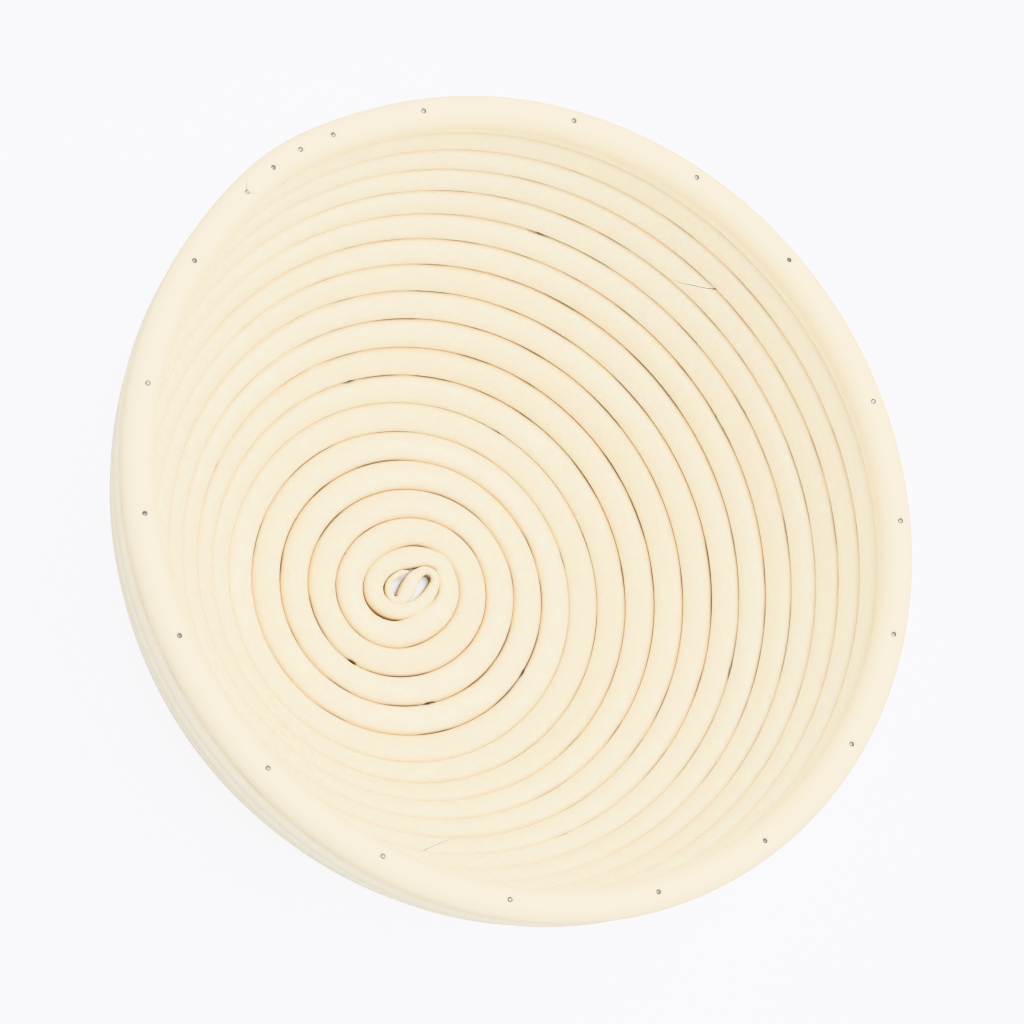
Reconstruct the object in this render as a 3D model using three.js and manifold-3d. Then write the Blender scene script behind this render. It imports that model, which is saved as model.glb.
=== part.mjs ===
// Round proofing basket for bread dough, coiled from rattan cane.
// Millimetres, +Z up, origin on the table under the middle of the basket.
//
// One long coil makes the base and the wall. It starts in an S-shaped hook at the
// centre, runs outwards clockwise as seen from above, and is made of three lengths
// of cane joined end to end by scarf joints. A closed hoop of thicker cane lies on
// the last turn. Headless wire pins hold each turn to the one below it, and a row
// of headed brads holds the hoop down.

import * as THREE from 'three';
import { mergeVertices } from 'three/addons/utils/BufferGeometryUtils.js';
import Module from 'manifold-3d';

const wasm = await Module();
wasm.setup();

// ---- Driving dimensions -------------------------------------------------

const PITCH = 8.0;            // spacing of the turns at the centre of the base
const PITCH_GROWTH = 0.028;   // how much wider each turn is than the one inside it
const GAP = 0.5;              // clearance left between neighbouring turns
const CANE_DEPTH = 6.0;       // thickness of the cane across the wall
const FIRST_SEAM = 6.6;       // distance of the innermost seam from the centre
const HOOK_BULGE = 2.0;       // how far the hook pushes out the seam's start
const HOOK_BULGE_FADE = 0.12; // turns over which that push dies away
const START_ANGLE = 69;       // direction in which the innermost seam starts, degrees
const HOOK_OVAL = 1.9;        // how far the turns round the hook are stretched
const HOOK_OVAL_ANGLE = 78;   // direction of that stretch, degrees
const HOOK_OVAL_FADE = 48;    // distance over which the stretch dies away

// Slope of the wall, in degrees, against the distance along it from the centre.
const WALL_SLOPE = [
  [0, 0], [44.5, 0], [57, 42], [80, 42.5], [116, 61.5], [152, 80.5], [190, 80.5],
];
const RIM_FOLLOW_START = 50;  // distance beyond which the wall takes on the hoop's shape

const BASE_SPLICE = 9.3;      // turn at which the first length of cane ends
const WALL_SPLICE = 13.91;    // turn at which the second length ends
const LAST_TURN = 17.36;      // turn at which the coil's tapered end lies under the hoop
const SCARF_LENGTH = 16;      // length of the slanting face of a coil scarf
const SCARF_GAP = 1.0;        // clearance along the cane between the faces of a scarf

const HOOP_RADIUS = 106.1;    // centreline radius of the rim hoop
const HOOP_CANE = 8.8;        // diameter of the hoop's cane
const HOOP_OVAL = 1.2;        // how far the hoop is out of round
const HOOP_OVAL_ANGLE = -17;  // direction of its long axis, degrees
const HOOP_SHIFT = 1.2;       // how far the hoop sits off centre
const HOOP_SHIFT_ANGLE = 24;  // direction of that shift, degrees
const HOOP_SCARF_ANGLE = 175.5; // middle of the overlap of the hoop's ends, degrees
const HOOP_SCARF_LENGTH = 30; // length of the hoop's slanting end faces
const HOOP_BULGE = 1.3;       // how far the hoop stands out where its ends overlap
const HOOP_BULGE_SPREAD = 11; // spread of that bulge to either side, degrees
const HOOP_CLEARANCE = 0.4;   // gap between the hoop and the coil under it

const BRAD_HEAD_RADIUS = 1.0;
const BRAD_HEAD_HEIGHT = 1.2;
const BRAD_SHANK_RADIUS = 0.6;
const BRAD_LENGTH = 14;
const NAIL_CLEARANCE = 0.3;
const BRAD_SUNK = 0.4;        // how far a head lies below the cane's surface
const PIN_RADIUS = 0.6;
const PIN_LENGTH = 13;
const FIRST_PIN = 1.15;       // turn at which the first pin is driven
const PIN_STEP = 0.48;        // turns between pins

// Directions of the rim brads in degrees: one every hand's width, and a close
// group where the hoop's ends are nailed over each other.
const RIM_BRAD_ANGLES = [
  155, 132, 112, 94, 70, 52, 35, 17, -3, -21, -43, -62, -82, -104, -122, -141, -161, -174.5, 180, 175, 169.5,
];

// The hook in plan: x, y and the cane's width, from its thin tip to the coil.
const HOOK = [
  [-2.9, 3.9, 1.0], [-3.7, 1.9, 1.1], [-4.0, -0.4, 1.2], [-3.6, -2.9, 1.2], [-1.9, -4.6, 1.3],
  [0.2, -4.8, 1.5], [1.3, -3.5, 1.8], [1.0, -1.6, 2.5], [0.2, 0.6, 2.9], [-0.9, 3.6, 2.9],
  [-1.3, 6.1, 2.4], [-0.7, 8.3, 1.9], [1.3, 9.5, 1.8], [3.4, 8.9, 1.9], [5.0, 6.9, 2.2],
  [6.0, 4.0, 2.5], [6.2, 0.3, 2.9], [5.3, -3.3, 3.4], [3.1, -6.3, 3.7], [0.1, -8.0, 4.2],
  [-3.2, -8.1, 4.7], [-6.1, -6.3, 4.9], [-7.9, -3.1, 5.2], [-8.2, 0.7, 5.3], [-7.3, 4.5, 5.4],
  [-5.5, 8.0, 5.3], [-3.1, 11.3, 4.4], [0.6, 13.3, 4.5],
];
const HOOK_JOINS_AT = 0;      // turn at which the hook runs into the coil
const HOOK_STEPS = 56;

// ---- Facets ---------------------------------------------------------------

const STEPS_PER_TURN = 28;
const CANE_SIDES = 8;
const BRAD_SIDES = 6;
const PROFILE_STEP = 0.25;
const SCARF_STEPS = 3;        // steps over which the facets lean over into a scarf

const TURN = 2 * Math.PI;
const RAD = Math.PI / 180;

const caneFinish = { color: 0xf0dfbd, roughness: 0.5, metalness: 0 };
const hoopFinish = { color: 0xf3e8cf, roughness: 0.45, metalness: 0 };
const steelFinish = { color: 0x9a958c, roughness: 0.4, metalness: 1 };

// ---- The wall's curve -----------------------------------------------------

function slopeAt(distance) {
  let i = 1;
  while (i < WALL_SLOPE.length - 1 && WALL_SLOPE[i][0] < distance) {
    i += 1;
  }
  const [d0, a0] = WALL_SLOPE[i - 1];
  const [d1, a1] = WALL_SLOPE[i];
  return (a0 + (a1 - a0) * (distance - d0) / (d1 - d0)) * RAD;
}

// Radius and height of the cane's centre surface, at every PROFILE_STEP along it.
function wallCurve() {
  const curve = [[0, 0]];
  const length = WALL_SLOPE[WALL_SLOPE.length - 1][0];
  let radius = 0;
  let height = 0;
  for (let d = PROFILE_STEP / 2; d < length; d += PROFILE_STEP) {
    radius += Math.cos(slopeAt(d)) * PROFILE_STEP;
    height += Math.sin(slopeAt(d)) * PROFILE_STEP;
    curve.push([radius, height]);
  }
  const lowest = Math.min(...curve.map((point) => point[1]));
  return curve.map((point) => [point[0], point[1] - lowest + CANE_DEPTH / 2]);
}

const WALL = wallCurve();

// How far the hoop's centreline lies outside a true circle in one direction.
function hoopOutOfRound(angle) {
  const oval = HOOP_OVAL * Math.cos(2 * (angle - HOOP_OVAL_ANGLE * RAD));
  const shift = HOOP_SHIFT * Math.cos(angle - HOOP_SHIFT_ANGLE * RAD);
  return oval + shift;
}

function wallPoint(distance, angle) {
  const place = distance / PROFILE_STEP;
  const i = Math.min(Math.floor(place), WALL.length - 2);
  const radius = WALL[i][0] + (WALL[i + 1][0] - WALL[i][0]) * (place - i);
  const height = WALL[i][1] + (WALL[i + 1][1] - WALL[i][1]) * (place - i);
  const stretch = HOOK_OVAL * Math.exp(-distance / HOOK_OVAL_FADE) * Math.cos(2 * (angle - HOOK_OVAL_ANGLE * RAD));
  const follow = THREE.MathUtils.smoothstep(distance, RIM_FOLLOW_START, HOOP_SEAM);
  const reach = radius + stretch + follow * hoopOutOfRound(angle);
  return new THREE.Vector3(reach * Math.cos(angle), reach * Math.sin(angle), height);
}

// Distance from the centre, along the wall, of the seam after a number of turns.
function seamDistance(turns) {
  const bulge = HOOK_BULGE * Math.exp(-((turns / HOOK_BULGE_FADE) ** 2));
  return FIRST_SEAM + bulge + PITCH * (turns + PITCH_GROWTH * turns * turns / 8);
}

function angleAt(turns) {
  return START_ANGLE * RAD - turns * TURN;
}

// The hoop is flat, so it meets the rising coil at one distance along the wall.
const HOOP_SEAM = seamDistance(17.5);
const HOOP_HEIGHT = wallPoint(HOOP_SEAM, 0).z + HOOP_CANE / 2 + HOOP_CLEARANCE;

// ---- Canes ----------------------------------------------------------------

// One ring of the coil: its centre, its two axes and its half sizes.
function coilRing(turns) {
  const angle = angleAt(turns);
  const inner = wallPoint(seamDistance(turns), angle);
  const outer = wallPoint(Math.min(seamDistance(turns + 1), HOOP_SEAM), angle);
  const across = outer.clone().sub(inner);
  const width = across.length();
  across.normalize();
  const along = new THREE.Vector3(Math.sin(angle), -Math.cos(angle), 0);
  const centre = inner.add(outer).multiplyScalar(0.5);
  return { centre, across, up: across.clone().cross(along).negate(), width: width - GAP, depth: CANE_DEPTH };
}

function hookRing(place, curve, widths) {
  const centre = curve.getPoint(place);
  const along = curve.getTangent(place);
  const up = new THREE.Vector3(0, 0, 1);
  const across = up.clone().cross(along).normalize();
  const slot = Math.min(place * (widths.length - 1), widths.length - 1.001);
  const i = Math.floor(slot);
  const width = widths[i] + (widths[i + 1] - widths[i]) * (slot - i);
  const depth = Math.min(CANE_DEPTH, width + 2.2);
  centre.z = wallPoint(Math.hypot(centre.x, centre.y), 0).z;
  return { centre, across, up, width, depth };
}

function ringPoint(ring, side) {
  const corner = (side + 0.5) * TURN / CANE_SIDES;
  const flat = 1 / Math.cos(Math.PI / CANE_SIDES);
  return ring.centre.clone()
    .addScaledVector(ring.across, Math.cos(corner) * flat * ring.width / 2)
    .addScaledVector(ring.up, Math.sin(corner) * flat * ring.depth / 2);
}

// Closed skin over a row of rings, each a list of points.
function skin(rings, closed) {
  const sides = rings[0].length;
  const positions = rings.flat().flatMap((point) => point.toArray());
  const index = [];
  const spans = closed ? rings.length : rings.length - 1;
  for (let i = 0; i < spans; i += 1) {
    const a = i * sides;
    const b = ((i + 1) % rings.length) * sides;
    for (let k = 0; k < sides; k += 1) {
      const next = (k + 1) % sides;
      index.push(a + k, b + next, b + k);
      index.push(a + k, a + next, b + next);
    }
  }
  if (!closed) {
    const last = (rings.length - 1) * sides;
    for (let k = 1; k < sides - 1; k += 1) {
      index.push(0, k + 1, k);
      index.push(last, last + k, last + k + 1);
    }
  }
  const geometry = new THREE.BufferGeometry();
  geometry.setAttribute('position', new THREE.Float32BufferAttribute(positions, 3));
  geometry.setIndex(index);
  return geometry;
}

// Half the length of a coil scarf, in turns, at a given place on the coil.
function scarfReach(turns) {
  return SCARF_LENGTH / 2 / (TURN * coilRing(turns).centre.length());
}

// Rings of the coil between two turns. A scarfed end leans over, so that the
// side of the cane away from the centre runs on past the side next to it.
function coilRings(from, to, scarfFrom, scarfTo) {
  const step = 1 / STEPS_PER_TURN;
  const stations = [from];
  for (let i = Math.ceil(from / step + 0.3); i * step < to - 0.3 * step; i += 1) {
    stations.push(i * step);
  }
  stations.push(to);
  return stations.map((turns, i) => {
    const fromEnd = scarfTo ? Math.min(stations.length - 1 - i, SCARF_STEPS) : SCARF_STEPS;
    const fromStart = scarfFrom ? Math.min(i, SCARF_STEPS) : SCARF_STEPS;
    const lean = 1 - Math.min(fromEnd, fromStart) / SCARF_STEPS;
    const reach = lean * scarfReach(turns);
    const ring = [];
    for (let side = 0; side < CANE_SIDES; side += 1) {
      const offset = Math.cos((side + 0.5) * TURN / CANE_SIDES) / Math.cos(Math.PI / CANE_SIDES);
      ring.push(ringPoint(coilRing(turns + offset * reach), side));
    }
    return ring;
  });
}

function hookRings() {
  const joint = coilRing(HOOK_JOINS_AT).centre;
  const points = HOOK.map(([x, y]) => new THREE.Vector3(x, y, 0));
  points.push(new THREE.Vector3(joint.x, joint.y, 0));
  const widths = HOOK.map((row) => row[2]);
  widths.push(coilRing(HOOK_JOINS_AT).width);
  const curve = new THREE.CatmullRomCurve3(points);
  const rings = [];
  for (let i = 0; i < HOOK_STEPS; i += 1) {
    const ring = hookRing(i / HOOK_STEPS, curve, widths);
    rings.push(Array.from({ length: CANE_SIDES }, (_, side) => ringPoint(ring, side)));
  }
  return rings;
}

function baseCane() {
  return skin([...hookRings(), ...coilRings(HOOK_JOINS_AT, BASE_SPLICE, false, true)], false);
}

function wallCane(from, to, scarfTo) {
  const start = from + SCARF_GAP / (TURN * coilRing(from).centre.length());
  return skin(coilRings(start, to, true, scarfTo), false);
}

// ---- Rim hoop ---------------------------------------------------------------

function hoopRadius(angle) {
  const away = Math.atan2(Math.sin(angle - HOOP_SCARF_ANGLE * RAD), Math.cos(angle - HOOP_SCARF_ANGLE * RAD));
  const bulge = HOOP_BULGE * Math.exp(-((away / (HOOP_BULGE_SPREAD * RAD)) ** 2));
  return HOOP_RADIUS + hoopOutOfRound(angle) + bulge;
}

// The hoop is one cane bent round until one slanting end lies on the other.
function rimHoop() {
  const steps = 2 * STEPS_PER_TURN;
  const reach = HOOP_SCARF_LENGTH / 2 / HOOP_RADIUS;
  const clearance = SCARF_GAP / HOOP_RADIUS / 2;
  const flat = 1 / Math.cos(Math.PI / CANE_SIDES);
  const leanSteps = 2 * SCARF_STEPS;
  const rings = [];
  for (let i = 0; i <= steps; i += 1) {
    const fromEnd = Math.min(i, steps - i, leanSteps);
    const lean = 1 - fromEnd / leanSteps;
    const sweep = clearance + (TURN - 2 * clearance) * i / steps;
    const ring = [];
    for (let side = 0; side < CANE_SIDES; side += 1) {
      const corner = (side + 0.5) * TURN / CANE_SIDES;
      const across = Math.cos(corner) * flat;
      const up = Math.sin(corner) * flat;
      const angle = HOOP_SCARF_ANGLE * RAD - sweep + up * lean * reach;
      const radius = hoopRadius(angle) + across * HOOP_CANE / 2;
      const height = HOOP_HEIGHT + up * HOOP_CANE / 2;
      ring.push(new THREE.Vector3(radius * Math.cos(angle), radius * Math.sin(angle), height));
    }
    rings.push(ring);
  }
  return skin(rings, false);
}

// ---- Brads and pins ------------------------------------------------------------------

// A headed brad or, with some clearance, the hole it sits in. Its top is at the
// origin and it points along -Y.
function bradShape(clearance) {
  const head = BRAD_HEAD_RADIUS + clearance;
  const shank = BRAD_SHANK_RADIUS + clearance;
  const top = clearance > 0 ? CANE_DEPTH : 0;
  const profile = [
    new THREE.Vector2(0, -BRAD_LENGTH - clearance),
    new THREE.Vector2(shank, -BRAD_LENGTH - clearance),
    new THREE.Vector2(shank, -BRAD_HEAD_HEIGHT - clearance),
    new THREE.Vector2(head, -BRAD_HEAD_HEIGHT - clearance),
    new THREE.Vector2(head, top),
    new THREE.Vector2(0, top),
  ];
  return new THREE.LatheGeometry(profile, BRAD_SIDES);
}

// A headless pin or its hole, placed as a brad is.
function pinShape(clearance) {
  const top = clearance > 0 ? BRAD_SUNK * 2 : 0;
  const profile = [
    new THREE.Vector2(0, -PIN_LENGTH - clearance),
    new THREE.Vector2(PIN_RADIUS + clearance, -PIN_LENGTH - clearance),
    new THREE.Vector2(PIN_RADIUS + clearance, top),
    new THREE.Vector2(0, top),
  ];
  return new THREE.LatheGeometry(profile, BRAD_SIDES);
}

// Where each nail's top is, the direction its point looks in and its shape.
function rimBradPlaces() {
  return RIM_BRAD_ANGLES.map((degrees) => {
    const angle = degrees * RAD;
    const radius = hoopRadius(angle);
    const height = HOOP_HEIGHT + HOOP_CANE / 2 - BRAD_SUNK;
    const head = new THREE.Vector3(radius * Math.cos(angle), radius * Math.sin(angle), height);
    return { head, down: new THREE.Vector3(0, 0, -1), shape: bradShape };
  });
}

function coilPinPlaces() {
  const places = [];
  for (let turns = FIRST_PIN; turns < LAST_TURN - 1; turns += PIN_STEP) {
    const ring = coilRing(turns);
    const head = ring.centre.clone().addScaledVector(ring.across, ring.width / 2 - BRAD_SUNK);
    places.push({ head, down: ring.across.clone().negate(), shape: pinShape });
  }
  return places;
}

function placeNail(object, { head, down }) {
  object.position.copy(head);
  object.quaternion.setFromUnitVectors(new THREE.Vector3(0, -1, 0), down);
  object.updateMatrixWorld(true);
}

// ---- Cutting the nail holes ---------------------------------------------------

function toManifold(geometry) {
  const bare = geometry.clone();
  bare.deleteAttribute('normal');
  bare.deleteAttribute('uv');
  const merged = mergeVertices(bare);
  return new wasm.Manifold(new wasm.Mesh({
    numProp: 3,
    vertProperties: new Float32Array(merged.attributes.position.array),
    triVerts: new Uint32Array(merged.index.array),
  }));
}

function toGeometry(solid) {
  const mesh = solid.getMesh();
  const geometry = new THREE.BufferGeometry();
  geometry.setAttribute('position', new THREE.BufferAttribute(new Float32Array(mesh.vertProperties), 3));
  geometry.setIndex(new THREE.BufferAttribute(new Uint32Array(mesh.triVerts), 1));
  return geometry;
}

function drill(geometry, places) {
  let solid = toManifold(geometry);
  for (const place of places) {
    const tool = new THREE.Mesh(place.shape(NAIL_CLEARANCE));
    placeNail(tool, place);
    solid = solid.subtract(toManifold(tool.geometry.applyMatrix4(tool.matrixWorld)));
  }
  return toGeometry(solid);
}

// ---- The basket -----------------------------------------------------------------

function piece(name, geometry, finish) {
  const shaded = geometry.index ? geometry.toNonIndexed() : geometry;
  shaded.computeVertexNormals();
  const mesh = new THREE.Mesh(shaded, new THREE.MeshStandardMaterial(finish));
  mesh.name = name;
  return mesh;
}

function nails(prefix, places) {
  const group = new THREE.Group();
  places.forEach((place, i) => {
    const nail = piece(`${prefix}_${String(i + 1).padStart(2, '0')}`, place.shape(0), steelFinish);
    placeNail(nail, place);
    group.add(nail);
  });
  return group;
}

const rimPlaces = rimBradPlaces();
const pinPlaces = coilPinPlaces();
const allPlaces = [...rimPlaces, ...pinPlaces];

const basket = new THREE.Group();
basket.add(piece('base_cane', drill(baseCane(), pinPlaces), caneFinish));
basket.add(piece('lower_wall_cane', drill(wallCane(BASE_SPLICE, WALL_SPLICE, true), pinPlaces), caneFinish));
basket.add(piece('upper_wall_cane', drill(wallCane(WALL_SPLICE, LAST_TURN, false), allPlaces), caneFinish));
basket.add(piece('rim_hoop', drill(rimHoop(), rimPlaces), hoopFinish));
basket.add(nails('rim_brad', rimPlaces));
basket.add(nails('coil_pin', pinPlaces));

export default basket;
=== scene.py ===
"""Round proofing basket coiled from rattan cane: the finished surfaces, finishes and stage.

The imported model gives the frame. Each length of cane is rolled up from a flat strip
and laid along the coil, so its grain follows it. Metres, +Z up.
"""

import math
import random

import bmesh
import bpy
from mathutils import Matrix, Quaternion, Vector, noise


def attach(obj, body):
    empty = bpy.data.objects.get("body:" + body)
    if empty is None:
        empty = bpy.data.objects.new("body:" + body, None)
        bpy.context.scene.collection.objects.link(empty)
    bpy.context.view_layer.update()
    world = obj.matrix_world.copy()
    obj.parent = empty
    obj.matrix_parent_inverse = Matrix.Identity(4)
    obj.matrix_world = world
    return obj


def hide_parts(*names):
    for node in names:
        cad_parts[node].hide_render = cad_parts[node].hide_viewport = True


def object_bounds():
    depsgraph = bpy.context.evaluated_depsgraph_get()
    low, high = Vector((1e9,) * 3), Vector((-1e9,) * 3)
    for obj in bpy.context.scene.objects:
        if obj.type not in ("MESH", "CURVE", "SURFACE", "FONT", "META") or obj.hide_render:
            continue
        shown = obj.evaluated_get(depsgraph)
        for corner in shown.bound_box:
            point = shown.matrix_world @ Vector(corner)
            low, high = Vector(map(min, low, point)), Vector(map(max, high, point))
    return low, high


bl_info = {
    "name": "Proofing Basket",
    "version": (1, 0, 0),
    "blender": (4, 5, 0),
    "location": "3D View > Sidebar > Basket",
    "description": "Builds a coiled cane proofing basket round its packed frame",
    "category": "Add Mesh",
}

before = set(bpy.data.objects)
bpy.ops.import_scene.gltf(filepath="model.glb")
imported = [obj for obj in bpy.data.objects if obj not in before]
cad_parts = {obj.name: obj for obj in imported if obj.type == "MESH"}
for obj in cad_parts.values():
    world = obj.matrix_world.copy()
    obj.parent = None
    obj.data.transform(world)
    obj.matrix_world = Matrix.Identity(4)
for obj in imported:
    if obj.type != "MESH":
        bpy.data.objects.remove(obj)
CAD_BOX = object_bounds()

MM = 0.001
TURN = 2 * math.pi
BODY = "root"

# Slope of the wall in degrees against the distance along it from the centre, in metres.
WALL_SLOPE = (
    (0.0, 0.0), (0.0445, 0.0), (0.057, 42.0), (0.080, 42.5), (0.116, 61.5), (0.152, 80.5), (0.190, 80.5),
)
PROFILE_STEP = 0.25 * MM

# The hook in plan, from its thin tip to the coil: x, y and the cane's width, in millimetres.
HOOK = (
    (-3.3, 4.2, 1.2), (-4.1, 2.2, 1.6), (-4.4, -0.5, 1.7), (-3.8, -3.0, 1.7), (-1.9, -4.6, 1.8),
    (0.2, -4.8, 2.1), (1.4, -3.4, 3.1), (1.2, -1.5, 4.1), (0.4, 0.7, 4.6), (-0.8, 3.6, 4.2),
    (-1.2, 6.1, 3.2), (-0.7, 8.3, 2.5), (1.2, 9.4, 2.4), (3.2, 8.7, 2.7), (4.6, 6.5, 3.5),
    (5.5, 3.7, 3.9), (5.7, 0.3, 4.2), (5.0, -3.0, 4.5), (3.1, -6.2, 4.6), (0.1, -8.1, 5.0),
    (-3.3, -8.3, 5.6), (-6.3, -6.4, 5.8), (-8.0, -3.1, 5.9), (-8.2, 0.7, 5.9), (-7.3, 4.6, 6.1),
    (-5.6, 8.2, 6.2), (-3.1, 11.5, 5.2), (0.6, 13.4, 5.2),
)

# Places where a seam stands open, with painted shade on the cane beside the gap: turns from the centre,
# length and width in millimetres.
OPEN_SEAM_COUNT = 13
FIRST_OPEN_SEAM = 2.4
OPEN_SEAM_SPACING = 0.87
OPEN_SEAMS = tuple((FIRST_OPEN_SEAM + OPEN_SEAM_SPACING * i, 3.5, 0.24) for i in range(OPEN_SEAM_COUNT))

# Directions of the rim's brads in degrees. The close group nails the hoop's ends over each other.
RIM_BRAD_ANGLES = (
    155, 132, 112, 94, 70, 52, 35, 17, -3, -21, -43, -62, -82, -104, -122, -141, -161,
    -174.5, 180, 175, 169.5,
)

FULLNESS = 0.88               # exponent that makes a round section fuller; 1 is a true ellipse


# ---- Settings -------------------------------------------------------------------


def length(name, description, default):
    """A length setting in metres."""
    return bpy.props.FloatProperty(
        name=name, description=description, default=default, precision=5, unit="LENGTH", subtype="DISTANCE"
    )


def angle(name, description, degrees):
    """An angle setting, given in degrees."""
    return bpy.props.FloatProperty(
        name=name, description=description, default=math.radians(degrees), unit="ROTATION", subtype="ANGLE"
    )


def number(name, description, default):
    """A plain number setting."""
    return bpy.props.FloatProperty(name=name, description=description, default=default, precision=4)


def colour(name, description, default):
    """A linear RGB colour setting."""
    return bpy.props.FloatVectorProperty(
        name=name, description=description, default=default, size=3, min=0, max=1, subtype="COLOR"
    )


class BasketCoil(bpy.types.PropertyGroup):
    """Sizes of the coil that makes the base and the wall."""

    pitch: length("Pitch", "Spacing of the turns at the centre", 8.0 * MM)
    growth: number("Growth", "How much wider each turn is than the one inside it", 0.028)
    depth: length("Cane depth", "Thickness of the cane across the wall", 6.0 * MM)
    first_seam: length("First seam", "Distance of the innermost seam from the centre", 6.6 * MM)
    start: angle("Start", "Direction in which the innermost seam starts", 69)
    oval: length("Hook oval", "How far the turns round the hook are stretched", 1.9 * MM)
    oval_angle: angle("Hook oval angle", "Direction of that stretch", 78)
    oval_fade: length("Hook oval fade", "Distance over which the stretch dies away", 48 * MM)
    bulge: length("Hook bulge", "How far the hook pushes out the seam's start", 2.0 * MM)
    bulge_fade: number("Hook bulge fade", "Turns over which that push dies away", 0.12)
    follow: length("Rim follow", "Distance beyond which the wall takes on the hoop's shape", 50 * MM)
    base_splice: number("Base splice", "Turn at which the first length of cane ends", 9.3)
    wall_splice: number("Wall splice", "Turn at which the second length ends", 13.91)
    last_turn: number("Last turn", "Turn at which the tapered end lies under the hoop", 17.36)
    scarf: length("Scarf", "Length of a scarf's slanting face", 16 * MM)
    seam_gap: length("Seam gap", "How unevenly two turns meet", 0.05 * MM)
    wobble: length("Wobble", "How far a turn strays from its true line", 0.13 * MM)


class BasketHoop(bpy.types.PropertyGroup):
    """Sizes of the rim hoop and its brads."""

    radius: length("Radius", "Centreline radius of the hoop", 106.1 * MM)
    cane: length("Cane", "Diameter of the hoop's cane", 8.8 * MM)
    oval: length("Oval", "How far the hoop is out of round", 1.2 * MM)
    oval_angle: angle("Oval angle", "Direction of its long axis", -17)
    shift: length("Shift", "How far the hoop sits off centre", 1.2 * MM)
    shift_angle: angle("Shift angle", "Direction of that shift", 24)
    scarf_angle: angle("Scarf angle", "Middle of the overlap of the hoop's ends", 177.5)
    scarf: length("Scarf", "Length of the hoop's slanting end faces", 30 * MM)
    bulge: length("Bulge", "How far the hoop stands out where its ends overlap", 1.3 * MM)
    bulge_spread: angle("Bulge spread", "Spread of that bulge to either side", 11)
    clearance: length("Clearance", "Gap between the hoop and the coil under it", 0.4 * MM)
    head: length("Brad head", "Radius of a brad's head", 0.8 * MM)
    pit: length("Brad pit", "Radius of the pit pressed round a brad", 1.3 * MM)
    sunk: length("Brad depth", "How far a head lies below the surface", 0.55 * MM)


class BasketFinish(bpy.types.PropertyGroup):
    """Colours of the finishes."""

    cane: colour("Cane", "Bare cane in the bowl", (0.92, 0.885, 0.79))
    rim: colour("Rim cane", "Paler cane of the hoop", (0.92, 0.885, 0.80))
    # The seam colour is painted shade: the warm orange-brown laid along the creases where turns meet.
    seam: colour("Seam", "Warm stain in the seams", (0.80, 0.50, 0.20))
    steel: colour("Wire", "Brad wire", (0.22, 0.215, 0.21))
    floor: colour("Floor", "Pale floor", (0.93, 0.93, 0.94))


class BasketStage(bpy.types.PropertyGroup):
    """Camera and light."""

    distance: length("Distance", "Camera distance from what it looks at", 1600.6 * MM)
    elevation: angle("Elevation", "Camera height above the horizon", 63.45)
    roll: angle("Roll", "Turn of the camera about its own axis", 52.6)
    lens: number("Lens", "Focal length in millimetres", 211.1)
    sky: number("Sky", "Strength of the even light all round", 1.2)
    key: number("Key light", "Power of the large light above, in watts", 12.0)
    glow: number("Glow", "How brightly the floor shines to the camera alone", 1.0)


SETTINGS = {"coil": BasketCoil, "hoop": BasketHoop, "finish": BasketFinish, "stage": BasketStage}


def settings(group):
    """One of this add-on's setting groups on the current scene."""
    return getattr(bpy.context.scene, "basket_" + group)


# ---- The coil's line --------------------------------------------------------------


def slope_at(distance):
    """Slope of the wall in radians."""
    for (d0, a0), (d1, a1) in zip(WALL_SLOPE, WALL_SLOPE[1:]):
        if distance <= d1:
            return math.radians(a0 + (a1 - a0) * (distance - d0) / (d1 - d0))
    return math.radians(WALL_SLOPE[-1][1])


def wall_curve(depth):
    """Radius and height of the cane's centre surface at every PROFILE_STEP along it."""
    radius = height = 0.0
    curve = [(0.0, 0.0)]
    for i in range(round(WALL_SLOPE[-1][0] / PROFILE_STEP)):
        slope = slope_at((i + 0.5) * PROFILE_STEP)
        radius += math.cos(slope) * PROFILE_STEP
        height += math.sin(slope) * PROFILE_STEP
        curve.append((radius, height))
    lowest = min(h for _, h in curve)
    return [(r, h - lowest + depth / 2) for r, h in curve]


def out_of_round(angle):
    """How far the hoop's centreline lies outside a true circle in one direction."""
    hoop = settings("hoop")
    stretch = hoop.oval * math.cos(2 * (angle - hoop.oval_angle))
    return stretch + hoop.shift * math.cos(angle - hoop.shift_angle)


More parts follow.
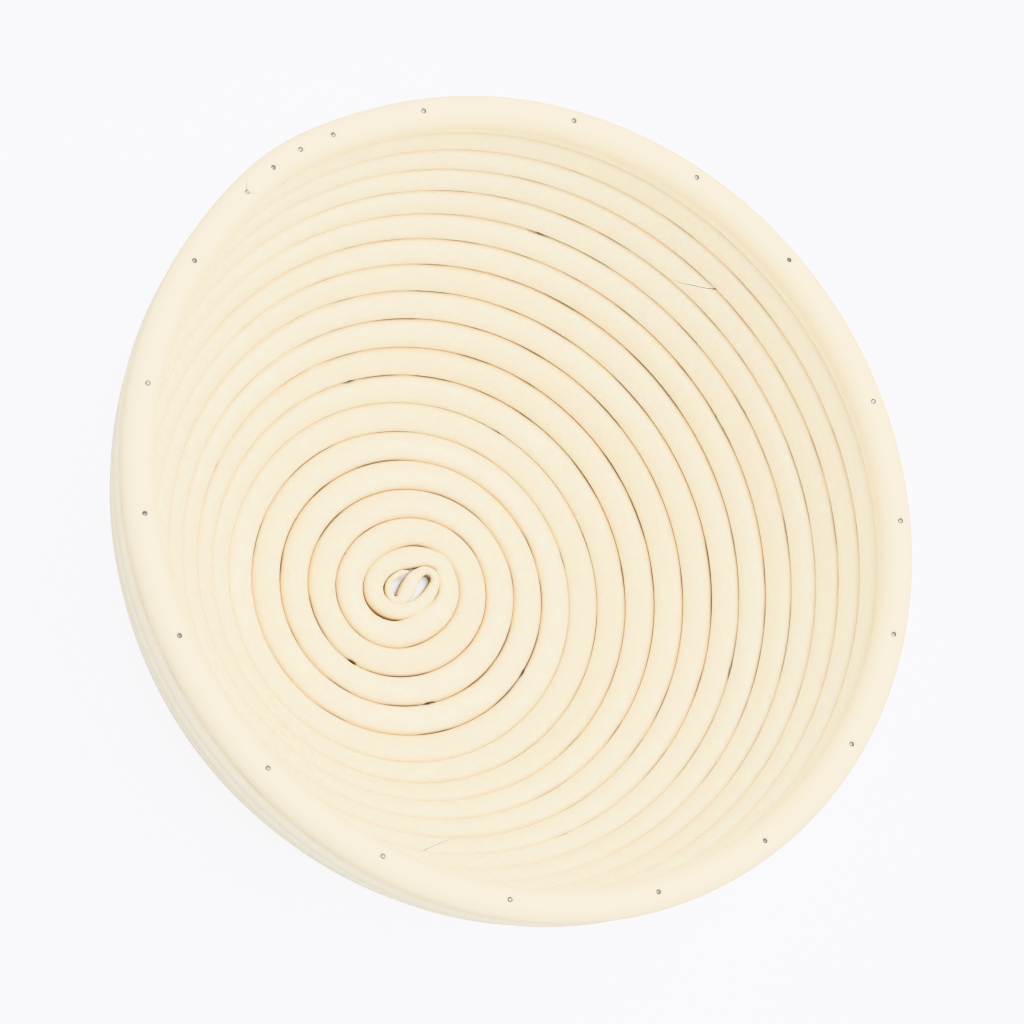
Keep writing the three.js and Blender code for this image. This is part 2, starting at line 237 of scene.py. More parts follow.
class CoilLine:
    """Where the seams and the canes of the coil run."""

    def __init__(self):
        self.s = settings("coil")
        self.curve = wall_curve(self.s.depth)
        self.hoop_seam = self.seam_distance(17.5)

    def angle_at(self, turns):
        return self.s.start - turns * TURN

    def seam_distance(self, turns):
        bulge = self.s.bulge * math.exp(-((turns / self.s.bulge_fade) ** 2))
        return self.s.first_seam + bulge + self.s.pitch * (turns + self.s.growth * turns * turns / 8)

    def wall_point(self, distance, angle):
        place = max(distance, 0) / PROFILE_STEP
        i = min(int(place), len(self.curve) - 2)
        (r0, h0), (r1, h1) = self.curve[i], self.curve[i + 1]
        radius = r0 + (r1 - r0) * (place - i)
        height = h0 + (h1 - h0) * (place - i)
        stretch = math.exp(-distance / self.s.oval_fade) * math.cos(2 * (angle - self.s.oval_angle))
        radius += self.s.oval * stretch
        follow = min(max((distance - self.s.follow) / (self.hoop_seam - self.s.follow), 0.0), 1.0)
        radius += follow * follow * (3 - 2 * follow) * out_of_round(angle)
        return Vector((radius * math.cos(angle), radius * math.sin(angle), height))

    def seam_point(self, turns, angle):
        """A point on a seam, which strays a little from its true line."""
        distance = self.seam_distance(turns)
        stray = noise.noise(Vector((math.cos(angle) * 1.7, math.sin(angle) * 1.7, turns * 1.3)))
        distance += self.s.wobble * stray
        return self.wall_point(min(distance, self.hoop_seam), angle)

    def opening(self, turns):
        """How wide a seam stands open at a place, in metres, and how much painted shade it gets there, from 0
        to 1.
        """
        run = TURN * max(self.seam_distance(turns), 4 * MM)
        for place, long_mm, wide_mm in OPEN_SEAMS:
            away = abs(turns - place) * run / (long_mm * MM / 2)
            if away < 1:
                return wide_mm * MM * (1 - away * away) ** 0.6, min(1.0, 2.5 * (1 - away))
        # Elsewhere random patches along the seam get painted shade, up to 0.42.
        arc = turns * TURN * (self.s.first_seam + self.s.pitch * turns / 2)
        return 0.0, min(max(2.2 * noise.noise(Vector((arc / (14 * MM), 1.1, 0.0))), 0.0), 0.42)

    def gap(self, turns):
        """Half the gap in a seam, wider where it stands open."""
        return self.s.seam_gap * noise.noise(Vector((turns * 9.0, 4.2, 0.0))) + self.opening(turns)[0] / 2

    def ring(self, turns):
        """Centre, axes and half sizes of the cane at a place on the coil."""
        angle = self.angle_at(turns)
        inner = self.seam_point(turns, angle)
        outer = self.seam_point(turns + 1, angle)
        across = outer - inner
        half = across.length / 2
        across.normalize()
        along = Vector((math.sin(angle), -math.cos(angle), 0))
        up = along.cross(across)
        stray = noise.noise(Vector((turns * 5.0, 0.0, 7.7)))
        centre = (inner + outer) / 2 + up * self.s.wobble * stray
        depth = min(self.s.depth, half * 4)
        inner, outer = half - self.gap(turns), half - self.gap(turns + 1)
        # Painted shade of the seams on either side.
        dark = (self.opening(turns)[1], self.opening(turns + 1)[1])
        return Ring(centre, across, up, inner, outer, depth / 2, dark)


def fuller(value):
    """Swells a circle's cosine or sine a little, as cane is pressed flat by its neighbours."""
    return math.copysign(abs(value) ** FULLNESS, value)


class Ring:
    """A cross-section of cane."""

    def __init__(self, centre, across, up, inner, outer, deep, dark=(0.0, 0.0)):
        self.centre = centre
        self.across = across
        self.up = up
        self.inner = inner
        self.outer = outer
        self.deep = deep
        self.dark = dark

    def point(self, turn):
        """A point on the skin, turn radians round from the side away from the centre."""
        c, s = fuller(math.cos(turn)), fuller(math.sin(turn))
        return self.centre + self.across * c * (self.outer if c > 0 else self.inner) + self.up * s * self.deep


def spline(points, place):
    """Point on a smooth curve through the points, place counting in spans."""
    i = min(int(place), len(points) - 2)
    t = place - i
    p0, p1, p2, p3 = (points[min(max(k, 0), len(points) - 1)] for k in (i - 1, i, i + 1, i + 2))
    square = (2 * p0 - 5 * p1 + 4 * p2 - p3) * t * t
    cube = (3 * p1 - p0 - 3 * p2 + p3) * t ** 3
    return 0.5 * (2 * p1 + (p2 - p0) * t + square + cube)


# ---- Making canes -------------------------------------------------------------------


def cane_mesh(name, rows, sides, girth, contact, darks=None):
    """Rolls a flat strip into a closed cane.

    rows holds the skin points of each cross-section, and darks how much painted shade
    on its two sides the seams get. contact gives the directions in which it touches others.
    """
    bm = bmesh.new()
    uv = bm.loops.layers.uv.new("UVMap")
    seam = bm.verts.layers.float.new("seam")
    slot = bm.verts.layers.float.new("slot")
    steps = len(rows) - 1
    bmesh.ops.create_grid(bm, x_segments=steps, y_segments=sides, size=0.5, calc_uvs=True)
    run = [0.0]
    for a, b in zip(rows, rows[1:]):
        run.append(run[-1] + (sum(b, Vector()) - sum(a, Vector())).length / sides)
    for face in bm.faces:
        face.smooth = True
        for loop in face.loops:
            place = loop[uv].uv
            loop[uv].uv = (run[round(place.x * steps)], place.y * girth)
    edge = []
    for vert in bm.verts:
        i = round((vert.co.x + 0.5) * steps)
        k = round((vert.co.y + 0.5) * sides)
        if k in (0, sides):
            edge.append(vert)
        vert.co = rows[i][k % sides]
        # The slot attribute carries the painted shade of the seam on this side.
        if darks:
            vert[slot] = darks[i][1 if math.cos(TURN * k / sides) > 0 else 0]
        facing = [(math.cos(TURN * k / sides - angle), mirror) for angle, mirror in contact]
        vert[seam] = max(abs(toward) if mirror else toward for toward, mirror in facing)
    bmesh.ops.remove_doubles(bm, verts=edge, dist=1e-6)
    ends = [e for e in bm.edges if e.is_boundary]
    caps = bmesh.ops.holes_fill(bm, edges=ends, sides=0)["faces"]
    for cap in caps:
        cap.smooth = False
        for e in cap.edges:
            e.smooth = False
    bmesh.ops.recalc_face_normals(bm, faces=bm.faces)
    mesh = bpy.data.meshes.new(name)
    bm.to_mesh(mesh)
    bm.free()
    return mesh


SIDES = 24
COIL_STEP = 1 / 144           # turns between cross-sections of the coil
HOOK_STEPS = 240
TIP_STEPS = 9                 # cross-sections over which the hook's tip is rounded
EXTRA_DEPTH = 2.6 * MM        # how much deeper than wide the thin part of the hook is
THIN_RISE = 0.6               # how far up the thin part lies: 0 is mid depth and 1 is level with the top
LEAN_TURNS = 0.06             # stretch of coil over which the sections lean into a scarf
SCARF_SLIT = 0.16 * MM        # clearance between the faces of a scarf
END_LINE = 0.35 * MM          # width of the painted shade line along the edge of a scarfed end
EDGE_DARK = 1.7               # painted shade at such an end: what exceeds 1 darkens the whole section
FIBRES_PER_TUFT = 5
FOLD_AT = 12.4                # row of the hook's table where the tongue folds back
NOTCH_AT = 10.2               # row beside the hook's tip


def coil_rows(line, start, end, lean_start, lean_end):
    """Skin points of the coil between two turns, leaning over at a scarfed end."""
    count = round((end - start) / COIL_STEP)
    stations = [start + (end - start) * i / count for i in range(count + 1)]
    if lean_start:
        stations.insert(1, start + END_LINE / (TURN * line.ring(start).centre.length))
    if lean_end:
        stations.insert(-1, end - END_LINE / (TURN * line.ring(end).centre.length))
    rows, darks = [], []
    for turns in stations:
        lean = 0.0
        if lean_start:
            lean = max(lean, 1 - (turns - start) / LEAN_TURNS)
        if lean_end:
            lean = max(lean, 1 - (end - turns) / LEAN_TURNS)
        middle = line.ring(turns)
        reach = max(lean, 0.0) * line.s.scarf / 2 / (TURN * middle.centre.length)
        row = []
        for k in range(SIDES):
            turn = TURN * k / SIDES
            ring = line.ring(turns + reach * math.cos(turn)) if reach else middle
            row.append(ring.point(turn))
        rows.append(row)
        darks.append(middle.dark)
    # Painted shade along the edge of each scarfed end.
    if lean_start:
        darks[0] = (EDGE_DARK, EDGE_DARK)
    if lean_end:
        darks[-1] = (EDGE_DARK, EDGE_DARK)
    return rows, darks


def hook_rows(line):
    """Skin points of the hook, from its rounded tip to where it runs into the coil."""
    s = line.s
    joins = [line.ring(k * 0.03) for k in range(3)]
    centres = [Vector((x, y, 0)) * MM for x, y, _ in HOOK] + [ring.centre.xy.to_3d() for ring in joins]
    widths = [w * MM for *_, w in HOOK] + [ring.inner + ring.outer for ring in joins]
    spans = len(HOOK)
    rows = []
    for i in range(HOOK_STEPS):
        place = spans * i / HOOK_STEPS
        centre = spline(centres, place)
        along = (spline(centres, place + 0.02) - spline(centres, max(place - 0.02, 0))).normalized()
        across = Vector((0, 0, 1)).cross(along).normalized()
        width = spline(widths, place) / 2
        tip = min(1.0, math.sqrt((i + 0.4) / TIP_STEPS))
        deep = min(s.depth, 2 * width + EXTRA_DEPTH) / 2
        centre.z = line.curve[0][1] + (s.depth / 2 - deep) * THIN_RISE
        ring = Ring(centre, across, Vector((0, 0, 1)), width * tip, width * tip, deep * tip)
        rows.append([ring.point(TURN * k / SIDES) for k in range(SIDES)])
    return rows


def hook_darks(count):
    """How much painted shade the hook's two sides get, at its fold and at the notch beside its tip."""
    darks = []
    for i in range(count):
        place = len(HOOK) * i / count
        fold = max(0.0, 1 - abs(place - FOLD_AT) / 2.2)
        notch = max(0.0, 1 - abs(place - NOTCH_AT) / 0.9)
        darks.append((0.8 * fold, notch))
    return darks


def add_fibres(mesh, line, start, end):
    """Raises a few torn fibres beside each open place between two turns of the coil."""
    rng = random.Random(11)
    bm = bmesh.new()
    bm.from_mesh(mesh)
    for place, long_mm, _ in OPEN_SEAMS:
        if not start < place < end:
            continue
        spread = long_mm * MM / (TURN * line.seam_distance(place))
        for _ in range(FIBRES_PER_TUFT):
            ring = line.ring(place + rng.uniform(-0.8, 0.8) * spread)
            along = ring.up.cross(ring.across)
            root = ring.centre - ring.across * ring.inner * 0.9 + ring.up * ring.deep * 0.45
            lay = along * rng.choice((-1, 1)) + ring.up * rng.uniform(0.15, 0.45)
            lay += ring.across * rng.uniform(-0.4, 0.4)
            lay.normalize()
            size = rng.uniform(1.2, 2.8) * MM
            turn = lay.to_track_quat("Z", "Y").to_matrix().to_4x4()
            spot = Matrix.Translation(root + lay * size / 2) @ turn
            bmesh.ops.create_cone(
                bm, cap_ends=True, segments=5, radius1=0.07 * MM, radius2=0.02 * MM, depth=size, matrix=spot
            )
    bm.to_mesh(mesh)
    bm.free()


def add_piece(name, mesh, material, nodes):
    """Puts a finished mesh in the scene for the nodes it stands for, rubbed flush with the part's box."""
    low, high = CAD_BOX
    for vert in mesh.vertices:
        vert.co = [min(max(c, a), b) for c, a, b in zip(vert.co, low, high)]
    mesh.materials.append(material)
    piece = bpy.data.objects.new(name, mesh)
    bpy.context.scene.collection.objects.link(piece)
    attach(piece, BODY)
    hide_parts(*nodes)
    return piece


# ---- Node groups and materials --------------------------------------------------------


def new_group(name, inputs, outputs):
    """An empty shader node group with its sockets."""
    group = bpy.data.node_groups.new(name, "ShaderNodeTree")
    for label, kind, default in inputs:
        socket = group.interface.new_socket(label, in_out="INPUT", socket_type=kind)
        if default is not None:
            socket.default_value = default
    for label, kind in outputs:
        group.interface.new_socket(label, in_out="OUTPUT", socket_type=kind)
    source = group.nodes.new("NodeGroupInput")
    sink = group.nodes.new("NodeGroupOutput")
    return group, source, sink


def node(tree, kind, **values):
    """A node with its properties and unlinked inputs set."""
    made = tree.nodes.new(kind)
    for key, value in values.items():
        if hasattr(made, key):
            setattr(made, key, value)
        else:
            made.inputs[key.replace("_", " ")].default_value = value
    return made


def maths(tree, operation, a, b=None, clamp=False):
    """A Math node's output. a and b are sockets or numbers."""
    made = tree.nodes.new("ShaderNodeMath")
    made.operation = operation
    made.use_clamp = clamp
    for i, value in enumerate((a, b)):
        if value is None:
            continue
        if isinstance(value, bpy.types.NodeSocket):
            tree.links.new(value, made.inputs[i])
        else:
            made.inputs[i].default_value = value
    return made.outputs[0]


def mix_colour(tree, factor, a, b, blend="MIX"):
    """A colour Mix node's output."""
    made = tree.nodes.new("ShaderNodeMix")
    made.data_type = "RGBA"
    made.blend_type = blend
    made.clamp_factor = True
    for socket, value in ((made.inputs[0], factor), (made.inputs[6], a), (made.inputs[7], b)):
        if isinstance(value, bpy.types.NodeSocket):
            tree.links.new(value, socket)
        else:
            socket.default_value = value if isinstance(value, float) else (*value, 1.0)
    return made.outputs[2]


def grain_group():
    """Fine fibres that run along the cane, read from its own strip coordinates."""
    group, source, sink = new_group(
        "Cane Fibres",
        [("Fibres per Metre", "NodeSocketFloat", 3200.0), ("Run", "NodeSocketFloat", 35.0)],
        [("Fibre", "NodeSocketFloat"), ("Tone", "NodeSocketFloat"), ("Height", "NodeSocketFloat")],
    )
    strip = node(group, "ShaderNodeUVMap", uv_map="UVMap")
    stretch = node(group, "ShaderNodeCombineXYZ")
    group.links.new(source.outputs["Run"], stretch.inputs[0])
    group.links.new(source.outputs["Fibres per Metre"], stretch.inputs[1])
    place = node(group, "ShaderNodeVectorMath", operation="MULTIPLY")
    group.links.new(strip.outputs[0], place.inputs[0])
    group.links.new(stretch.outputs[0], place.inputs[1])
    fibre = node(group, "ShaderNodeTexNoise", Scale=1.0, Detail=3.0, Roughness=0.62)
    group.links.new(place.outputs[0], fibre.inputs["Vector"])
    slow = node(group, "ShaderNodeVectorMath", operation="MULTIPLY")
    slow.inputs[1].default_value = (9.0, 150.0, 1.0)
    group.links.new(strip.outputs[0], slow.inputs[0])
    tone = node(group, "ShaderNodeTexNoise", Scale=1.0, Detail=2.0, Roughness=0.5)
    group.links.new(slow.outputs[0], tone.inputs["Vector"])
    ramp = node(group, "ShaderNodeMapRange", From_Min=0.3, From_Max=0.7)
    group.links.new(fibre.outputs[0], ramp.inputs["Value"])
    group.links.new(ramp.outputs[0], sink.inputs["Fibre"])
    group.links.new(tone.outputs[0], sink.inputs["Tone"])
    group.links.new(fibre.outputs[0], sink.inputs["Height"])
    return group


def painted_seam_shade_group():
    """Painted shade where two turns of cane meet: a thin warm line, a soft band beside it, and darker painted
    shade where a seam stands open.
    """
    group, source, sink = new_group(
        "Seam Painted Shade",
        [("Width", "NodeSocketFloat", 0.045), ("Soft", "NodeSocketFloat", 0.34)],
        [("Line", "NodeSocketFloat"), ("Shade", "NodeSocketFloat"), ("Slot", "NodeSocketFloat")],
    )
    near = node(group, "ShaderNodeAttribute", attribute_name="seam")
    for label, output in (("Width", "Line"), ("Soft", "Shade")):
        start = maths(group, "SUBTRACT", 1.0, source.outputs[label])
        made = node(group, "ShaderNodeMapRange", interpolation_type="SMOOTHSTEP")
        group.links.new(near.outputs["Fac"], made.inputs["Value"])
        group.links.new(start, made.inputs["From Min"])
        group.links.new(made.outputs[0], sink.inputs[output])
    deep = node(group, "ShaderNodeMapRange", From_Min=0.86, From_Max=0.97)
    group.links.new(near.outputs["Fac"], deep.inputs["Value"])
    open_here = node(group, "ShaderNodeAttribute", attribute_name="slot")
    side = maths(group, "MULTIPLY", deep.outputs[0], open_here.outputs["Fac"], True)
    whole = maths(group, "SUBTRACT", open_here.outputs["Fac"], 1.0, True)
    group.links.new(maths(group, "MAXIMUM", side, whole), sink.inputs["Slot"])
    return group


def shared_group(name, build):
    """A node group, built once."""
    return bpy.data.node_groups.get(name) or build()


def new_material(name):
    """An empty node material, its tree and its shader."""
    material = bpy.data.materials.new(name)
    material.use_nodes = True
    tree = material.node_tree
    return material, tree, tree.nodes["Principled BSDF"]


def cane_material(name, base, roughness):
    """Bare smooth cane with lengthwise fibres, and painted shade along its seams."""
    found = bpy.data.materials.get(name)
    if found:
        return found
    material, tree, shader = new_material(name)
    fibres = node(tree, "ShaderNodeGroup", node_tree=shared_group("Cane Fibres", grain_group))
    painted_shade = node(tree, "ShaderNodeGroup", node_tree=shared_group("Seam Painted Shade", painted_seam_shade_group))
    pale = tuple(min(1.0, c * 1.06 + 0.02) for c in base)
    warm = (base[0] * 0.95, base[1] * 0.90, base[2] * 0.80)
    colour_now = mix_colour(tree, fibres.outputs["Tone"], warm, pale)
    lines = maths(tree, "MULTIPLY", fibres.outputs["Fibre"], 0.10)
    colour_now = mix_colour(tree, lines, colour_now, tuple(c * 0.55 for c in base))
    # Painted shade: a soft warm band beside each seam, a thin orange-brown line in it, and dark brown where a
    # seam stands open or a scarfed end lies.
    seam = tuple(settings("finish").seam)
    shade = maths(tree, "MULTIPLY", painted_shade.outputs["Shade"], 0.28)
    colour_now = mix_colour(tree, shade, colour_now, (base[0] * 0.95, base[1] * 0.72, base[2] * 0.45))
    line = maths(tree, "MULTIPLY", painted_shade.outputs["Line"], 0.75)
    colour_now = mix_colour(tree, line, colour_now, seam)
    slots = maths(tree, "MULTIPLY", painted_shade.outputs["Slot"], 0.95)
    colour_now = mix_colour(tree, slots, colour_now, (0.20, 0.11, 0.045))
    tree.links.new(colour_now, shader.inputs["Base Color"])
    rough = maths(tree, "MULTIPLY", fibres.outputs["Fibre"], 0.16)
    tree.links.new(maths(tree, "ADD", rough, roughness), shader.inputs["Roughness"])
    bump = node(tree, "ShaderNodeBump", Strength=0.25, Distance=0.05 * MM)
    tree.links.new(fibres.outputs["Height"], bump.inputs["Height"])
    tree.links.new(bump.outputs[0], shader.inputs["Normal"])
    shader.inputs["Subsurface Weight"].default_value = 0.25
    shader.inputs["Subsurface Radius"].default_value = (1.0, 0.6, 0.3)
    shader.inputs["Subsurface Scale"].default_value = 0.8 * MM
    shader.inputs["Specular IOR Level"].default_value = 0.35
    return material


def steel_material():
    """Dull drawn wire, darker where it has tarnished."""
    found = bpy.data.materials.get("brad_wire")
    if found:
        return found
    material, tree, shader = new_material("brad_wire")
    place = node(tree, "ShaderNodeTexCoord")
    spots = node(tree, "ShaderNodeTexNoise", Scale=1400.0, Detail=4.0, Roughness=0.6)
    tree.links.new(place.outputs["Object"], spots.inputs["Vector"])
    steel = tuple(settings("finish").steel)
    tarnished = tuple(c * 0.35 for c in steel)
    bright = tuple(min(1, c * 1.7) for c in steel)
    colour_now = mix_colour(tree, spots.outputs[0], tarnished, bright)
    tree.links.new(colour_now, shader.inputs["Base Color"])
    rough = maths(tree, "MULTIPLY", spots.outputs[0], 0.4)
    tree.links.new(maths(tree, "ADD", rough, 0.15), shader.inputs["Roughness"])
    shader.inputs["Metallic"].default_value = 1.0
    bump = node(tree, "ShaderNodeBump", Strength=0.4, Distance=0.1 * MM)
    tree.links.new(spots.outputs[0], bump.inputs["Height"])
    tree.links.new(bump.outputs[0], shader.inputs["Normal"])
    return material


def bowl_cane():
    """The finish of the coil's canes."""
    return cane_material("bowl_cane", tuple(settings("finish").cane), 0.42)


def rim_cane():
    """The finish of the hoop's cane."""
    return cane_material("rim_cane", tuple(settings("finish").rim), 0.38)


# ---- Operators ---------------------------------------------------------------------------

COIL_CONTACT = ((0.0, True),)
HOOP_CONTACT = ((-math.pi / 2, False),)


class BasketOperator(bpy.types.Operator):
    """Shared settings of the basket's operators."""

    bl_options = {"REGISTER", "UNDO"}


class BASKET_OT_base_cane(BasketOperator):
    """Make the first length of cane, with the hook at the centre of the base"""

    bl_idname = "basket.base_cane"
    bl_label = "Base Cane"

    def execute(self, context):
        line = CoilLine()
        s = line.s
        hook = hook_rows(line)
        rows, darks = coil_rows(line, 0.0, s.base_splice, False, True)
        darks = hook_darks(len(hook)) + darks
        mesh = cane_mesh("base_cane_round", hook + rows, SIDES, math.pi * s.depth, COIL_CONTACT, darks)
        add_fibres(mesh, line, 0.0, s.base_splice)
        add_piece("base_cane_round", mesh, bowl_cane(), ["base_cane"])
        return {"FINISHED"}


class BASKET_OT_wall_canes(BasketOperator):
    """Make the two lengths of cane that rise from the base to the rim"""

    bl_idname = "basket.wall_canes"
    bl_label = "Wall Canes"

    def execute(self, context):
        line = CoilLine()
        s = line.s
        slit = SCARF_SLIT * s.scarf / s.pitch
        for name, start, end, scarfed in (
            ("lower_wall_cane", s.base_splice, s.wall_splice, True),
            ("upper_wall_cane", s.wall_splice, s.last_turn, False),
        ):
            start += slit / (TURN * line.ring(start).centre.length)
            rows, darks = coil_rows(line, start, end, True, scarfed)
            mesh = cane_mesh(name + "_round", rows, SIDES, math.pi * s.depth, COIL_CONTACT, darks)
            add_fibres(mesh, line, start, end)
            add_piece(name + "_round", mesh, bowl_cane(), [name])
        return {"FINISHED"}


def hoop_radius(hoop, angle):
    """Radius of the hoop's centreline in one direction."""
    away = math.remainder(angle - hoop.scarf_angle, TURN)
    return hoop.radius + out_of_round(angle) + hoop.bulge * math.exp(-((away / hoop.bulge_spread) ** 2))


def hoop_height():
    """Height of the hoop's centreline above the floor."""
    hoop = settings("hoop")
    line = CoilLine()
    return line.wall_point(line.hoop_seam, 0).z + hoop.cane / 2 + hoop.clearance


HOOP_SIDES = 48
HOOP_STEPS = 216
PIT_STEPS = 9                 # cross-sections added each side of a brad
PIT_MARGIN = 1.3              # how far those reach, in radii of the pit
OVERLAP_STEPS = 130           # cross-sections added where the hoop's ends lie on each other


class BASKET_OT_rim_hoop(BasketOperator):
    """Make the closed hoop on the last turn, with its scarf joint and brad pits"""

    bl_idname = "basket.rim_hoop"
    bl_label = "Rim Hoop"

    def execute(self, context):
        hoop = settings("hoop")
        slit = SCARF_SLIT * hoop.scarf / hoop.cane / hoop.radius
        sweep = [slit / 2 + (TURN - slit) * i / HOOP_STEPS for i in range(HOOP_STEPS + 1)]
        brads = [math.radians(a) for a in RIM_BRAD_ANGLES]
        for brad in brads:
            middle = (hoop.scarf_angle - brad) % TURN
            step = hoop.pit * PIT_MARGIN / PIT_STEPS / hoop.radius
            sweep += [middle + k * step for k in range(-PIT_STEPS, PIT_STEPS + 1)]
        height = hoop_height()
        reach = hoop.scarf / 2 / hoop.radius
        fine = [3 * reach * k / OVERLAP_STEPS for k in range(OVERLAP_STEPS)]
        sweep += [slit / 2 + a for a in fine] + [TURN - slit / 2 - a for a in fine]
        sweep = sorted(a for a in sweep if slit / 2 <= a <= TURN - slit / 2)
        rows, darks = [], []
        for along in sweep:
            inward = min(along - slit / 2, TURN - slit / 2 - along)
            lean = max(0.0, 1 - inward / (3 * reach))
            # Painted shade along the edges of the hoop's scarfed ends.
            edge = EDGE_DARK if inward < END_LINE / 2 / hoop.radius else 0.0
            darks.append((edge, edge))
            rows.append([self.point(hoop, height, along, TURN * k / HOOP_SIDES, lean * reach, brads)
                         for k in range(HOOP_SIDES)])
        mesh = cane_mesh("rim_hoop_round", rows, HOOP_SIDES, math.pi * hoop.cane, HOOP_CONTACT, darks)
        add_piece("rim_hoop_round", mesh, rim_cane(), ["rim_hoop"])
        return {"FINISHED"}

    def point(self, hoop, height, along, turn, lean, brads):
        """A point on the hoop's skin. lean slants the section, so that one end lies on the other."""
        angle = hoop.scarf_angle - along + math.sin(turn) * lean
        stray = noise.noise(Vector((math.cos(angle) * 2, math.sin(angle) * 2, 3.3))) * 0.15 * MM
        radius = hoop_radius(hoop, angle) + math.cos(turn) * hoop.cane / 2 + stray
        rise = math.sin(turn) * hoop.cane / 2
        point = Vector((radius * math.cos(angle), radius * math.sin(angle), height + rise))
        if math.sin(turn) > 0:
            point.z -= self.pit_depth(hoop, point, brads)
        return point

    @staticmethod
    def pit_depth(hoop, point, brads):
        """How far the cane is pressed down by the brads near a point."""
        for brad in brads:
            radius = hoop_radius(hoop, brad)
            away = math.hypot(point.x - radius * math.cos(brad), point.y - radius * math.sin(brad)) / hoop.pit
            if away < 1:
                return (hoop.sunk + 0.25 * MM) * min(1.0, 1.6 * (1 - away) ** 0.8)
        return 0.0


class BASKET_OT_rim_brads(BasketOperator):
    """Make the brads that hold the hoop down"""

    bl_idname = "basket.rim_brads"
    bl_label = "Rim Brads"

    def execute(self, context):
        hoop = settings("hoop")
        rng = random.Random(5)
        top = hoop_height() + hoop.cane / 2 - hoop.sunk
        for i, degrees in enumerate(RIM_BRAD_ANGLES):
            angle = math.radians(degrees)
            radius = hoop_radius(hoop, angle)
            place = Vector((radius * math.cos(angle), radius * math.sin(angle), top))
            name = f"rim_brad_{i + 1:02d}"
            mesh = self.brad_mesh(name + "_round", hoop, place, rng)
            add_piece(name + "_round", mesh, steel_material(), [name])
        return {"FINISHED"}

    @staticmethod
    def brad_mesh(name, hoop, place, rng):
        """A brad spun from half of its outline, driven in a little askew."""
        head = hoop.head
        outline = (
            (0.0, 0.0), (head * 0.55, 0.0), (head * 0.85, -0.06 * MM), (head, -0.25 * MM), (head, -0.9 * MM),
            (head * 0.8, -1.1 * MM), (0.6 * MM, -1.25 * MM), (0.6 * MM, -6.0 * MM), (0.0, -6.6 * MM),
        )
        bm = bmesh.new()
        verts = [bm.verts.new((x, 0, z)) for x, z in outline]
        edges = [bm.edges.new(pair) for pair in zip(verts, verts[1:])]
        bmesh.ops.spin(
            bm, geom=verts + edges, cent=(0, 0, 0), axis=(0, 0, 1), angle=TURN, steps=20, use_merge=True
        )
        bmesh.ops.remove_doubles(bm, verts=bm.verts, dist=1e-7)
        bmesh.ops.recalc_face_normals(bm, faces=bm.faces)
        askew = Matrix.Rotation(rng.uniform(-0.16, 0.16), 4, "X")
        askew = askew @ Matrix.Rotation(rng.uniform(-0.16, 0.16), 4, "Y")
        bmesh.ops.transform(bm, matrix=Matrix.Translation(place) @ askew, verts=bm.verts)
        for face in bm.faces:
            face.smooth = True
        mesh = bpy.data.meshes.new(name)
        bm.to_mesh(mesh)
        bm.free()
        return mesh


class BASKET_OT_coil_pins(BasketOperator):
    """Give the pins inside the coil their wire finish"""

    bl_idname = "basket.coil_pins"
    bl_label = "Coil Pins"

    def execute(self, context):
        for name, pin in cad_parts.items():
            if name.startswith("coil_pin"):
                pin.data.materials.clear()
                pin.data.materials.append(steel_material())
        return {"FINISHED"}


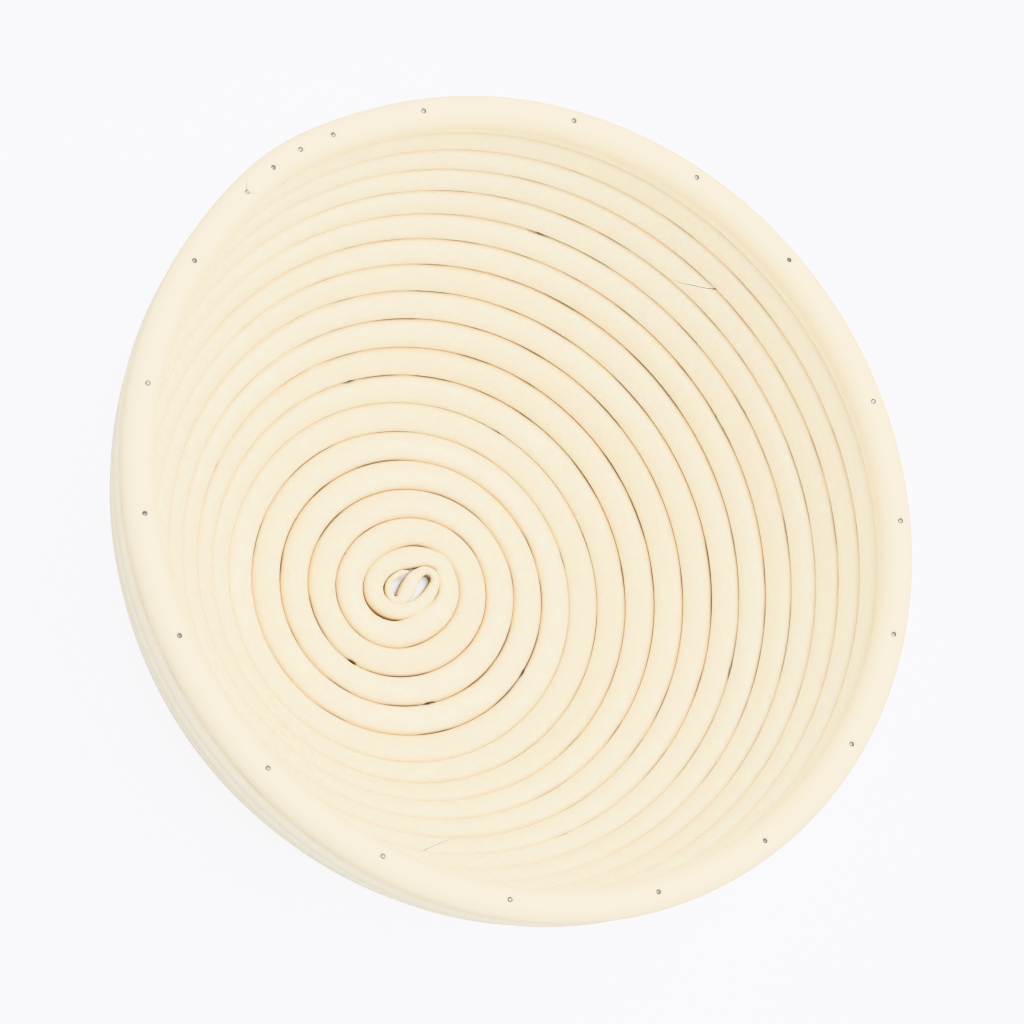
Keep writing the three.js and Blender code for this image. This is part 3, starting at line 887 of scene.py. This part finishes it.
class BASKET_OT_stage(BasketOperator):
    """Make the pale floor, the soft light and the camera"""

    bl_idname = "basket.stage"
    bl_label = "Stage"

    def execute(self, context):
        self.make_floor()
        self.make_light()
        self.make_camera()
        return {"FINISHED"}

    @staticmethod
    def make_floor():
        """A wide floor, white to the camera but duller to bounced light, with a painted shadow under the
        basket where its glow is dimmed.
        """
        bm = bmesh.new()
        bmesh.ops.create_grid(bm, x_segments=2, y_segments=2, size=6.0)
        mesh = bpy.data.meshes.new("floor")
        bm.to_mesh(mesh)
        bm.free()
        material, tree, shader = new_material("floor_paint")
        place = node(tree, "ShaderNodeTexCoord")
        mottle = node(tree, "ShaderNodeTexNoise", Scale=3.0, Detail=2.0)
        tree.links.new(place.outputs["Object"], mottle.inputs["Vector"])
        paint = tuple(settings("finish").floor)
        shown = mix_colour(tree, mottle.outputs[0], paint, tuple(c * 0.99 for c in paint))
        sight = node(tree, "ShaderNodeLightPath").outputs["Is Camera Ray"]
        dimmer = tuple(c * 0.5 for c in paint)
        tree.links.new(mix_colour(tree, sight, dimmer, shown), shader.inputs["Base Color"])
        shader.inputs["Roughness"].default_value = 0.9
        shader.inputs["Emission Color"].default_value = (0.93, 0.93, 1.0, 1.0)
        across = node(tree, "ShaderNodeVectorMath", operation="LENGTH")
        tree.links.new(place.outputs["Object"], across.inputs[0])
        # Painted shadow: the floor's glow falls to 0.45 within 50 mm of the centre, under the basket.
        open_floor = node(
            tree, "ShaderNodeMapRange", From_Min=50 * MM, From_Max=90 * MM, To_Min=0.45, To_Max=1.0
        )
        tree.links.new(across.outputs["Value"], open_floor.inputs["Value"])
        glow = maths(tree, "MULTIPLY", open_floor.outputs[0], settings("stage").glow)
        tree.links.new(maths(tree, "MULTIPLY", glow, sight), shader.inputs["Emission Strength"])
        mesh.materials.append(material)
        floor = bpy.data.objects.new("floor", mesh)
        bpy.context.scene.collection.objects.link(floor)

    @staticmethod
    def make_light():
        """Even light all round and one large soft light above."""
        stage = settings("stage")
        scene = bpy.context.scene
        scene.view_settings.view_transform = "Khronos PBR Neutral"
        world = bpy.data.worlds.new("studio")
        world.use_nodes = True
        world.node_tree.nodes["Background"].inputs["Color"].default_value = (1.0, 1.0, 1.0, 1.0)
        world.node_tree.nodes["Background"].inputs["Strength"].default_value = stage.sky
        scene.world = world
        lamp = bpy.data.lights.new("key", "AREA")
        lamp.shape = "DISK"
        lamp.size = 1.0
        lamp.energy = stage.key
        key = bpy.data.objects.new("key", lamp)
        key.location = (0.1, 0.2, 1.5)
        key.rotation_mode = "QUATERNION"
        key.rotation_quaternion = (-key.location).to_track_quat("-Z", "Y")
        scene.collection.objects.link(key)

    @staticmethod
    def make_camera():
        """A long lens looking down into the bowl from the front, turned on its side."""
        stage = settings("stage")
        back = Vector((-0.0007, -math.cos(stage.elevation), math.sin(stage.elevation))).normalized()
        aim = Vector((1.0, 16.3, 52.07)) * MM
        data = bpy.data.cameras.new("camera")
        data.lens = stage.lens
        data.sensor_width = 36.0
        data.clip_start = 0.05
        data.clip_end = 50.0
        camera = bpy.data.objects.new("camera", data)
        camera.location = aim + back * stage.distance
        camera.rotation_mode = "QUATERNION"
        camera.rotation_quaternion = (-back).to_track_quat("-Z", "Y") @ Quaternion((0, 0, 1), stage.roll)
        bpy.context.scene.collection.objects.link(camera)
        bpy.context.scene.camera = camera


STEPS = (
    BASKET_OT_base_cane, BASKET_OT_wall_canes, BASKET_OT_rim_hoop, BASKET_OT_rim_brads, BASKET_OT_coil_pins,
    BASKET_OT_stage,
)


class BASKET_PT_panel(bpy.types.Panel):
    """The basket's pieces and settings, in the sidebar."""

    bl_idname = "BASKET_PT_panel"
    bl_label = "Proofing Basket"
    bl_space_type = "VIEW_3D"
    bl_region_type = "UI"
    bl_category = "Basket"

    def draw(self, context):
        for step in STEPS:
            self.layout.operator(step.bl_idname)
        for group, kind in SETTINGS.items():
            box = self.layout.box()
            box.label(text=group.title())
            for name in kind.__annotations__:
                box.prop(settings(group), name)


CLASSES = (*SETTINGS.values(), *STEPS, BASKET_PT_panel)


def register():
    """Adds the classes and puts the settings on the scene."""
    for item in CLASSES:
        bpy.utils.register_class(item)
    for group, kind in SETTINGS.items():
        setattr(bpy.types.Scene, "basket_" + group, bpy.props.PointerProperty(type=kind))


def unregister():
    """Takes the settings and classes away again."""
    for group in SETTINGS:
        delattr(bpy.types.Scene, "basket_" + group)
    for item in reversed(CLASSES):
        bpy.utils.unregister_class(item)


def main():
    register()
    for step in STEPS:
        category, name = step.bl_idname.split(".")
        getattr(getattr(bpy.ops, category), name)()


if __name__ == "__main__":
    main()
